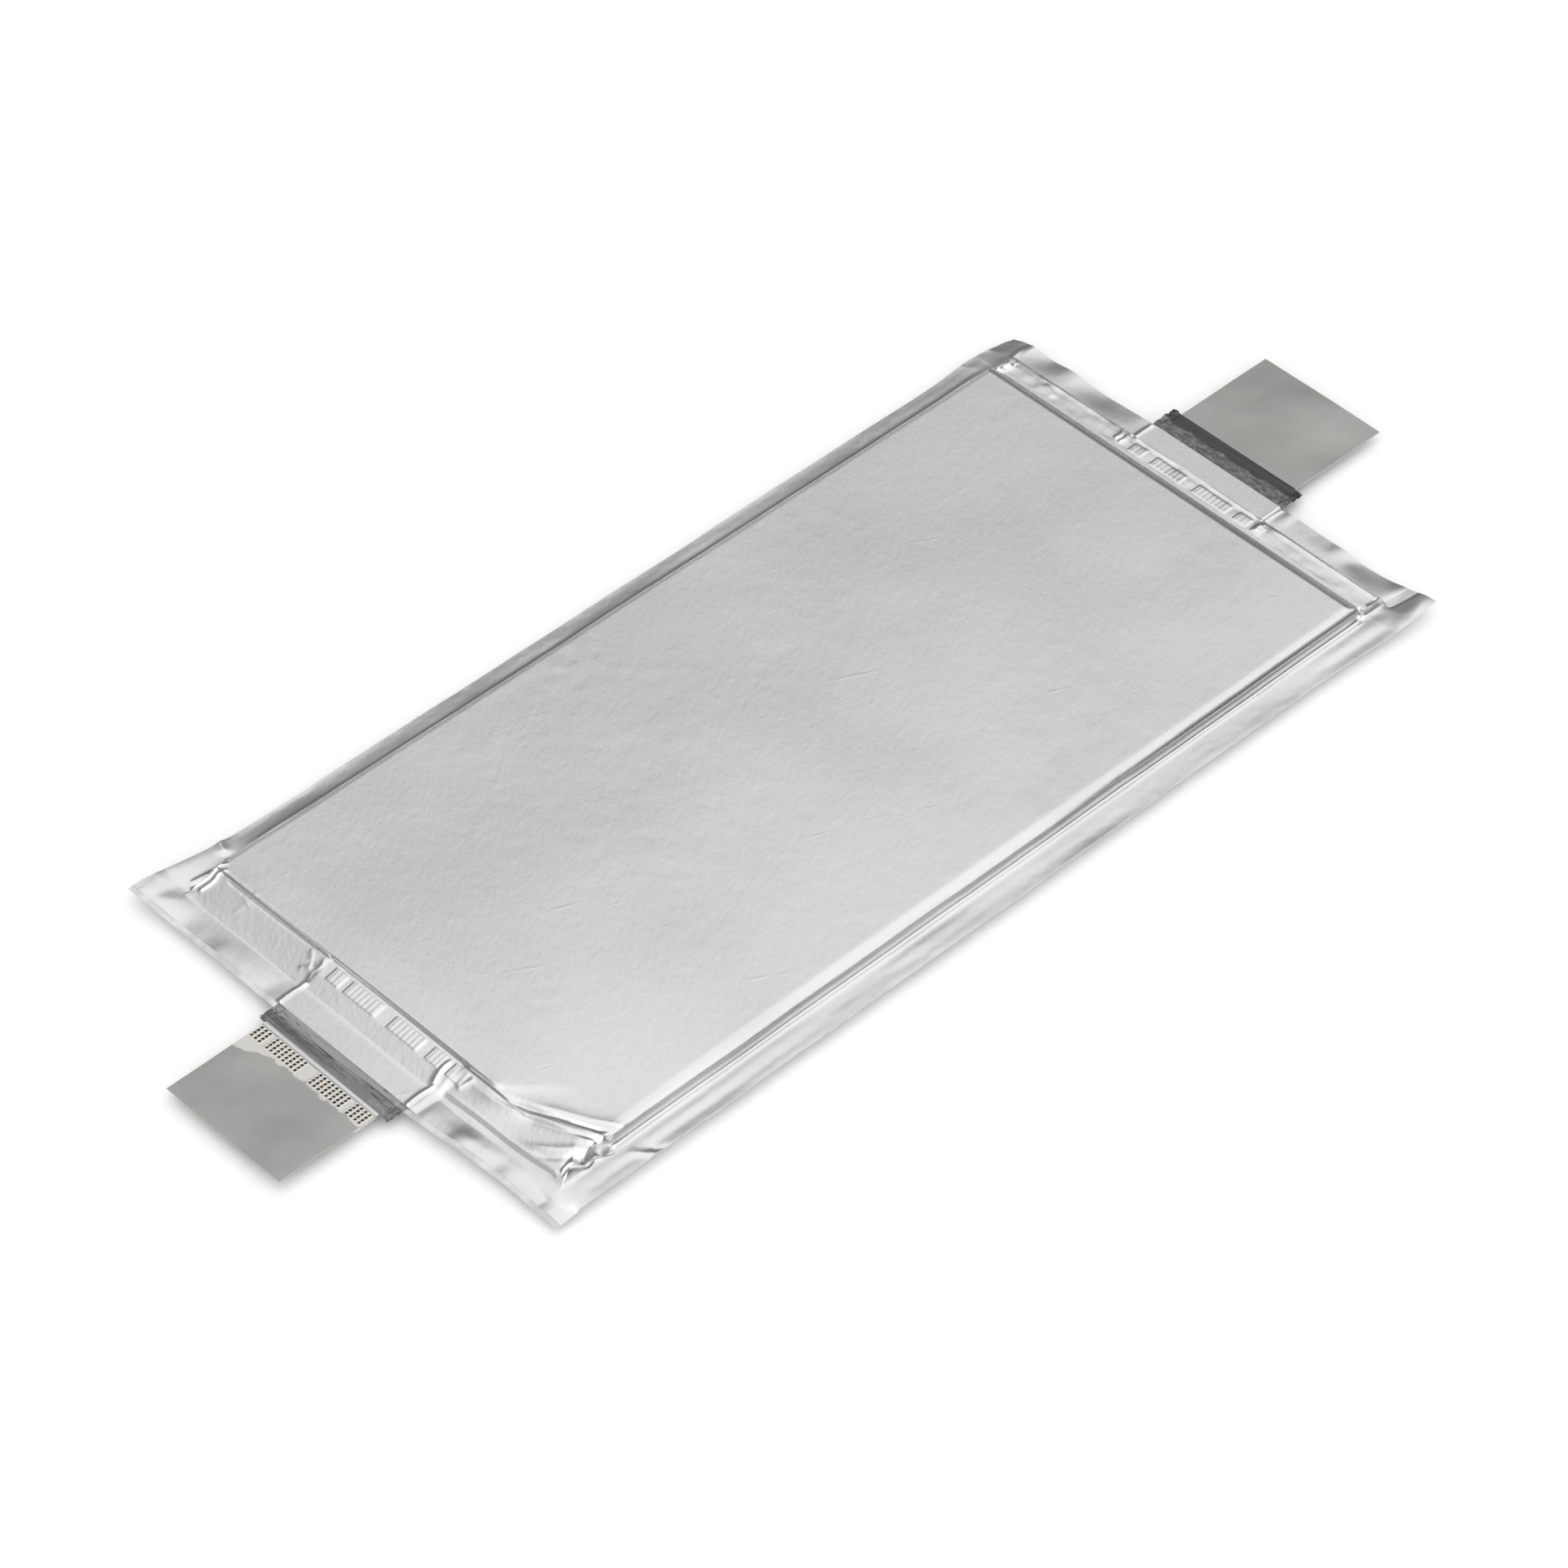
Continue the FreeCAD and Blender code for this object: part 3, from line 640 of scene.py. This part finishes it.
def negative_end_folds(z, x, y):
    """The knob, pits and gathers of the terrace at the negative end."""

    def fold(*route, **kind):
        add_fold(z, x, y, route, **kind)

    fold((-58.4, 126.9), (-57.6, 124.6), (-58.2, 122.0), (-58.6, 120.2),
         width=0.9, height=0.75, crisp=0.4)
    fold((-57.0, 125.4), (-56.6, 124.8), width=0.5, height=-0.5, crisp=0.4, ends=(0.0, 0.0))
    fold((-57.9, 122.6), (-57.5, 122.1), width=0.45, height=-0.5, crisp=0.4, ends=(0.0, 0.0))
    fold((-52, 126.6), (-40, 126.9), (-26, 127.0), width=(0.5, 1.1), height=0.22, crisp=0.5)
    fold((24, 127.0), (40, 126.8), (58, 126.7),
         width=(0.5, 1.1), height=0.3, crisp=0.5, ends=(0.15, 0.02))
    fold((-20, 127.2), (0, 127.4), (21, 127.2),
         width=(0.4, 0.9), height=0.32, crisp=0.6, ends=(0.05, 0.05))
    fold((58.3, 127.6), (58.5, 125.2), (58.2, 122.8),
         width=(0.5, 0.7), height=0.3, crisp=0.6, ends=(0.1, 0.1))
    fold((56.6, 121.0), (58.2, 120.9), (59.0, 119.6),
         width=0.5, height=-0.7, crisp=0.4, ends=(0.2, 0.1))
    fold((-22.6, 127.4), (-21.8, 125.4), (-22.2, 123.2), width=0.55, height=0.4, crisp=0.6)
    fold((-20.8, 127.0), (-20.2, 125.0), (-20.6, 123.0), width=0.5, height=0.35, crisp=0.6)
    fold((-47, 125.9), (-44.2, 124.6), (-42, 123.4), width=0.9, height=0.2, crisp=0.4)
    fold((23.4, 127.2), (22.6, 125.0), (23.2, 123.2), width=0.9, height=0.3, crisp=0.4)
    gathers = smooth((y - 122.2) / 1.0) * smooth((127.6 - y) / 1.0)
    z += gathers * (0.05 * value_noise(x, y * 0.8, 2.6, 31) + 0.06 * value_noise(x, y, 6, 32))


def flange_marks(z, x, y):
    """The thin ridge left by the seal bar along each foot, the films' edges, and creases of the flange."""

    def fold(*route, **kind):
        add_fold(z, x, y, route, **kind)

    fold((59.75, -112), (59.6, -60), (59.7, 10), (59.6, 70), (59.8, 121),
         width=(0.35, 0.3), height=0.28, crisp=0.5, ends=(0.03, 0.02))
    fold((-62.0, -112), (-61.4, -60), (-61.6, 10), (-61.4, 70), (-61.8, 121),
         width=0.35, height=0.26, crisp=0.7, ends=(0.05, 0.03))
    for x_at, end, high in FILM_RIDGES:
        outer = end * (FLANGE_Y - 0.1)
        fold((x_at, end * 127), (x_at - 0.5, end * 130.5), (x_at - 0.2, outer),
             width=0.55, height=high, crisp=0.5, ends=(0.05, 0.0))
    fold((61.4, -110.8), (63.8, -108.6), (66.0, -106.4), (67.4, -104.4),
         width=1.1, height=0.28, crisp=0.5, ends=(0.4, 0.0))
    fold((63.6, -106.6), (65.4, -105.0), (67.4, -103.0),
         width=0.9, height=-0.25, crisp=0.4, ends=(0.4, 0.0))
    fold((-67.0, 117.2), (-64.6, 118.8), (-62.6, 121.4),
         width=1.4, height=0.07, crisp=0.5, ends=(0.0, 0.4))
    fold((-67.0, -112.6), (-64.4, -113.6), (-62.0, -114.6),
         width=1.4, height=0.5, crisp=0.5, ends=(0.0, 0.4))
    fold((59.6, 127.6), (60.2, 131), (60.8, 136),
         width=(1.4, 0.8), height=-0.5, crisp=0.4, ends=(0.1, 0.0))
    fold((-59.8, 127.2), (-60.8, 130.4), (-61.4, 134.5),
         width=0.7, height=0.2, crisp=0.6, ends=(0.1, 0.5))


def over_films(x, y):
    """Lowest height of a sheet's outer face: its thickness, and the film's as well where it covers a tab."""
    film = smooth((FILM_X - np.abs(x)) / 0.5) * smooth((np.abs(y) - 125.0) / 1.5)
    return LAMINATE + FILM_LIFT * film


def upper_surface(x, y):
    """The outer face of the upper sheet."""
    near_pads = ((-18.2, -13.8, 1), (-12.6, -2.0, 1), (1.4, 11.6, 1), (13.7, 18.2, 1), (20.2, 25.2, 0.6))
    far_pads = ((-17.4, -12.9, 0.8), (-10.4, -0.2, 1), (3.0, 14.2, 1), (16.0, 20.6, 0.8), (21.6, 24.8, 0.3))
    pinch = 0.3 * hump((y - 120.6) / 1.0) * (x > 0) + 0.9 * hump((y + 116.0) / 1.8) * (x > 0)
    lean = 0.10 * value_noise(np.sign(x) * 5, y, 19, 41) + 0.04 * value_noise(np.sign(x) * 5, y, 6, 42)
    side = drawn_wall(x + np.sign(x) * (pinch - lean), y)
    z = np.minimum(side, np.minimum(positive_end(x, y), negative_end(x, y)))
    z = np.maximum(z, over_films(x, y))
    z += plateau_life(x, y)
    z += weld_imprint(x, y, -124.3, -120.4, near_pads)
    z += weld_imprint(x, y, 122.7, 126.2, far_pads)
    positive_end_folds(z, x, y)
    negative_end_folds(z, x, y)
    flange_marks(z, x, y)
    return z


def lower_surface(x, y):
    """The outer face of the lower sheet, below the seam: a smooth twin of the upper one's left half."""
    mirrored = -np.abs(x)
    z = np.minimum(drawn_wall(mirrored, y), np.minimum(positive_end(mirrored, y), negative_end(x, y)))
    return -np.maximum(z, over_films(x, y))


def pouch_lines(step, fine):
    """Grid lines of a laminate: step apart on the flat, and closer, by the factor fine, where it bends."""
    wall = (FOOT_X - 3.3, FOOT_X - 1.2, FOOT_X + 0.6, FOOT_X + 1.4)
    pads = FILM_X + 6
    right = ((pads, wall[0], step), (wall[0], wall[1], 0.15 * fine), (wall[1], wall[2], 0.06 * fine),
             (wall[2], wall[3], 0.15 * fine), (wall[3], FLANGE_X, 0.45 * fine))
    left = [(-end, -start, spacing) for start, end, spacing in reversed(right)]
    x = grid_lines(*left, (-pads, pads, 0.2 * fine), *right)
    y = grid_lines((-FLANGE_Y, -128.4, 0.4 * fine), (-128.4, -121, 0.2 * fine), (-121, -119, 0.1 * fine),
                   (-119, -104, 0.3 * fine), (-104, 117, step), (117, 129, 0.18 * fine),
                   (129, FLANGE_Y, 0.4 * fine))
    return x, y


def laminate_piece(node, x, y, z, up, materials):
    """One sheet of the pouch. The lower one is kept from sinking into the surface it lies on."""
    shift_x, shift_y, shift_z = flange_drift(x, y)
    z = z + shift_z
    if not up:
        z = np.maximum(z, -PLATEAU)
    piece, outer_faces = closed_sheet("pouch_" + node, x + shift_x, y + shift_y, z, LAMINATE, up)
    stand_for(piece, node, "laminate", *materials)
    mark_inside(piece, outer_faces)


def upper_laminate(*materials):
    x, y = np.meshgrid(*pouch_lines(0.6, 1.0))
    laminate_piece("upper_laminate", x, y, upper_surface(x, y), True, materials)


def lower_laminate(*materials):
    xs, ys = pouch_lines(1.4, 1.8)
    extra = np.linspace(-FLANGE_Y - LOWER_EXTRA, -FLANGE_Y, 4)[:-1]
    x, y = np.meshgrid(xs, np.concatenate([extra, ys]))
    laminate_piece("lower_laminate", x, y, lower_surface(x, y), False, materials)


def mark_inside(piece, outer_faces):
    """Gives the second material to the inner face and the cut edge."""
    index = np.zeros(len(piece.data.polygons), np.int32)
    index[outer_faces:] = 1
    piece.data.polygons.foreach_set("material_index", index)


# ---------------------------------------------------------------- terminals and films


def terminal_wave(x, y, seed):
    """The slight bow of a thin strip. It fades to nothing where the film and the weld hold the strip."""
    free = smooth((np.abs(y) - 146.5) / 12)
    return free * (0.25 * value_noise(x, y, 23, seed) + 0.05 * value_noise(x, y, 8, seed + 1))


def negative_terminal(material):
    low, high = box_mm("negative_tab")
    xs = np.linspace(low[0], high[0], 62)
    ys = np.linspace(low[1], high[1], 86)
    x, y = np.meshgrid(xs, ys)
    z = high[2] - SEAM + terminal_wave(x, y, 51)
    piece, _ = closed_sheet("negative_terminal_tab", x, y, z, high[2] - low[2])
    stand_for(piece, "negative_tab", "nickel_plating", material)


def positive_terminal(aluminium):
    """The aluminium tab, with the bead of bare metal that stands up between the film and the welded strip."""
    low, high = box_mm("positive_tab")
    xs = np.linspace(low[0], high[0], 62)
    ys = grid_lines((low[1], -142.0, 0.5), (-142.0, -140.0, 0.05), (-140.0, high[1], 0.9))
    x, y = np.meshgrid(xs, ys)
    bead = BEAD_HEIGHT * np.sqrt(np.clip(1 - ((y - BEAD_Y) / BEAD_RADIUS) ** 2, 0, 1))
    z = high[2] - SEAM + bead * (y < BEAD_END_Y)
    piece, _ = closed_sheet("positive_terminal_tab", x, y, z, high[2] - low[2])
    stand_for(piece, "positive_tab", "aluminium_tab", aluminium)


def weld_pits():
    """Pit centres of the ultrasonic weld."""
    for first, columns in WELD_GROUPS:
        for column in range(columns):
            for row in range(WELD_ROWS):
                yield first + column * WELD_PITCH, WELD_FIRST_ROW - row * WELD_ROW_PITCH


def positive_extension():
    """The plated strip welded on the aluminium tab, with its weld pits."""
    low, high = box_mm("positive_tab_extension")
    xs = grid_lines((low[0], high[0], 0.09))
    ys = grid_lines((low[1], -146.0, 0.6), (-146.0, -141.5, 0.09))
    x, y = np.meshgrid(xs, ys)
    z = high[2] - SEAM + terminal_wave(x, y, 61)
    for px, py in weld_pits():
        near = (np.abs(x - px) < 0.8) & (np.abs(y - py) < 0.8)
        dx, dy = x[near] - px, y[near] - py
        square = np.maximum(np.abs(dx), np.abs(dy))
        pit = smooth((0.38 - square) / 0.16)
        lip = np.exp(-(((square - 0.48) / 0.1) ** 2))
        z[near] += PIT_LIP * lip - PIT_DEPTH * pit
    piece, _ = closed_sheet("positive_terminal_extension", x, y, z, high[2] - low[2] - 0.02)
    deep, shallow = (high[2] - 0.09) * MM, (high[2] - 0.03) * MM
    plating = welded_nickel((0.45, 0.445, 0.43), (0.56, 0.555, 0.535), deep, shallow)
    stand_for(piece, "positive_tab_extension", "nickel_plating", plating)


def film(node, name, material, direction, side, seed):
    """Half of a sealant film: pressed flat on the tab, ruffled where it runs past the tab's edges."""
    low, high = box_mm(node)
    tab_low, tab_high = box_mm("positive_tab" if direction < 0 else "negative_tab")
    half = (tab_high[2] - tab_low[2]) / 2
    xs = grid_lines((low[0], -17.5, 0.2), (-17.5, 17.5, 0.6), (17.5, high[0], 0.2))
    ys = grid_lines((low[1], high[1], 0.3))
    x, y = np.meshgrid(xs, ys)
    free = smooth((np.abs(y) - FLANGE_Y) / 2.0)
    on_tab = smooth((tab_high[0] + 0.5 - np.abs(x)) / 0.6)
    wing = (1 - on_tab) * free
    rise = 0.1 + half * on_tab
    ruffle = wing * (0.55 * value_noise(x * 1.2, y, 1.7, seed) + 0.25 * value_noise(x, y, 0.9, seed + 1))
    flow = 0.03 * free * value_noise(x * 0.08, y, 0.8, seed + 2)
    z = side * (rise + flow * (side > 0)) + ruffle
    shift_y = wing * 0.5 * value_noise(x, y * 0.2, 1.3, seed + 3)
    piece, _ = closed_sheet(name, x, y + shift_y, z, 0.1, up=side > 0)
    stand_for(piece, node, "tab_film", material)


# ---------------------------------------------------------------- studio


def camera():
    az, el = math.radians(AZIMUTH), math.radians(ELEVATION)
    forward = Vector((-math.sin(az) * math.cos(el), math.cos(az) * math.cos(el), -math.sin(el)))
    data = bpy.data.cameras.new("camera")
    data.lens, data.sensor_width = LENS, SENSOR
    data.clip_start, data.clip_end = CLIP_NEAR, CLIP_FAR
    shooter = bpy.data.objects.new("camera", data)
    turn = forward.to_track_quat("-Z", "Y").to_matrix().to_4x4()
    shooter.matrix_world = Matrix.Translation(AIM - forward * CAMERA_DISTANCE) @ turn
    bpy.context.scene.collection.objects.link(shooter)
    bpy.context.scene.camera = shooter


def floor():
    mesh = bpy.data.meshes.new("floor")
    corners = [(i * FLOOR_HALF, j * FLOOR_HALF, 0) for i, j in ((-1, -1), (1, -1), (1, 1), (-1, 1))]
    mesh.from_pydata(corners, [], [(0, 1, 2, 3)])
    sheet = bpy.data.objects.new("floor", mesh)
    sheet.location.z = -FLOOR_DROP
    s = Surface("floor_white", Roughness=0.9)
    s.colour(s.blend(s.spread(s.noise(3, 2), 0.3, 0.7), (0.93, 0.93, 0.93), (0.95, 0.95, 0.95)))
    mesh.materials.append(s.material)
    bpy.context.scene.collection.objects.link(sheet)


def world():
    """A softbox overhead that leans to the negative end, a key light behind the camera, and dim fills.

    Where the camera sees the world itself, it is white.
    """
    made = bpy.data.worlds.new("studio")
    made.use_nodes = True
    nodes, links = made.node_tree.nodes, made.node_tree.links
    nodes.clear()
    direction = nodes.new("ShaderNodeTexCoord").outputs["Generated"]

    def toward(vector, stops):
        """Brightness by the angle between a direction and this vector."""
        dot = nodes.new("ShaderNodeVectorMath")
        dot.operation = "DOT_PRODUCT"
        links.new(direction, dot.inputs[0])
        dot.inputs[1].default_value = Vector(vector).normalized()
        ramp = nodes.new("ShaderNodeValToRGB")
        ramp.color_ramp.interpolation = "B_SPLINE"
        elements = ramp.color_ramp.elements
        for at, level in stops[1:-1]:
            elements.new(at).color = (level, level, level, 1.0)
        for element, (at, level) in ((elements[0], stops[0]), (elements[-1], stops[-1])):
            element.position, element.color = at, (level, level, level, 1.0)
        links.new(dot.outputs["Value"], ramp.inputs["Fac"])
        return ramp.outputs["Color"]

    def combine(a, b, operation):
        node = nodes.new("ShaderNodeMath")
        node.operation = operation
        for socket, value in zip(node.inputs, (a, b)):
            if isinstance(value, float):
                socket.default_value = value
            else:
                links.new(value, socket)
        return node.outputs[0]

    # stops are (cosine of the angle, brightness)
    overhead = ((0.0, 0.04), (0.3, 0.06), (0.5, 0.10), (0.62, 0.17), (0.69, 0.20), (0.72, 0.30), (0.74, 0.42),
                (0.77, 0.57), (0.80, 0.76), (0.83, 0.86), (0.88, 0.92), (0.93, 0.88), (1.0, 0.82))
    softbox = toward((0.03, 0.248, 0.95), overhead)
    flag = toward((0.85, 0.49, 0.1), ((0.0, 1.0), (0.8, 1.0), (0.93, 0.6), (1.0, 0.35)))
    key = toward((0.5, -0.5, 0.7), ((0.0, 0.0), (0.6, 0.0), (0.78, 0.5), (0.92, 1.0), (1.0, 1.0)))
    left_fill = toward((-0.5, -0.6, 0.62), ((0.0, 0.0), (0.8, 0.0), (0.9, 0.07), (0.97, 0.22), (1.0, 0.3)))
    level = combine(combine(softbox, flag, "MULTIPLY"), SOFTBOX_LEVEL, "MULTIPLY")
    path = nodes.new("ShaderNodeLightPath")
    dimming = combine(path.outputs["Is Glossy Ray"], KEY_LEVEL_MIRRORED - KEY_LEVEL, "MULTIPLY")
    strength = combine(dimming, KEY_LEVEL, "ADD")
    level = combine(level, combine(key, strength, "MULTIPLY"), "ADD")
    level = combine(level, left_fill, "ADD")
    for compass in ((0, 1, 0.1), (0, -1, 0.1), (1, 0, 0.1), (-1, 0, 0.1)):
        wall = toward(compass, ((0.0, 0.0), (0.87, 0.0), (0.94, 0.15), (0.98, 0.32), (1.0, 0.36)))
        level = combine(level, wall, "ADD")
    seen = path.outputs["Is Camera Ray"]
    shown = nodes.new("ShaderNodeMix")
    links.new(seen, shown.inputs[0])
    links.new(level, shown.inputs[2])
    shown.inputs[3].default_value = 1.0
    back = nodes.new("ShaderNodeBackground")
    links.new(shown.outputs[0], back.inputs["Strength"])
    back.inputs["Color"].default_value = (1.0, 1.0, 1.0, 1.0)
    out = nodes.new("ShaderNodeOutputWorld")
    links.new(back.outputs[0], out.inputs["Surface"])
    bpy.context.scene.world = made
    settings = bpy.context.scene.view_settings
    settings.view_transform = "Standard"
    settings.look = "None"
    settings.exposure = 0.0


# ---------------------------------------------------------------- carried-over pieces


def dress_inner_nodes():
    """Materials for the CAD pieces sealed inside the pouch, which keep their shape."""
    blue = tape("stack_tape_blue", (0.05, 0.16, 0.38), (0.07, 0.21, 0.46))
    amber = tape("weld_tape_amber", (0.42, 0.20, 0.03), (0.55, 0.28, 0.05))
    by_start = {
        "cathode": coating("cathode_coating", 0.035, 900, -1.0, 0.1129, ALUMINIUM_FOIL),
        "anode": coating("anode_coating", 0.018, 700, 1.0, 0.1139, COPPER_FOIL),
        "separator_ribbon": porous_white(),
        "separator_end_tape": blue,
        "stack_tape": blue,
        "positive_weld_tape": amber,
        "negative_weld_tape": amber,
    }
    for node, piece in NODES.items():
        for start, made in by_start.items():
            if node.startswith(start):
                piece.data.materials.clear()
                piece.data.materials.append(made)


outside, inside = laminate_outside(), laminate_inside()
upper_laminate(outside, inside)
lower_laminate(outside, inside)
negative_terminal(nickel("nickel_negative", NICKEL_DULL, NICKEL_BRIGHT))
positive_terminal(bare_aluminium())
positive_extension()
near_film = sealant_film("film_smoky", (0.045, 0.045, 0.043), (0.28, 0.28, 0.275), 0.3, 0.72,
                         ink_from=-0.1385)
far_film = sealant_film("film_dark", (0.03, 0.028, 0.025), (0.17, 0.165, 0.155), 0.5, 0.75,
                        rough_band=0.1388)
film("positive_tab_film_upper", "positive_sealant_film_upper", near_film, -1, 1, 71)
film("positive_tab_film_lower", "positive_sealant_film_lower", near_film, -1, -1, 75)
film("negative_tab_film_upper", "negative_sealant_film_upper", far_film, 1, 1, 81)
film("negative_tab_film_lower", "negative_sealant_film_lower", far_film, 1, -1, 85)
dress_inner_nodes()
camera()
floor()
world()
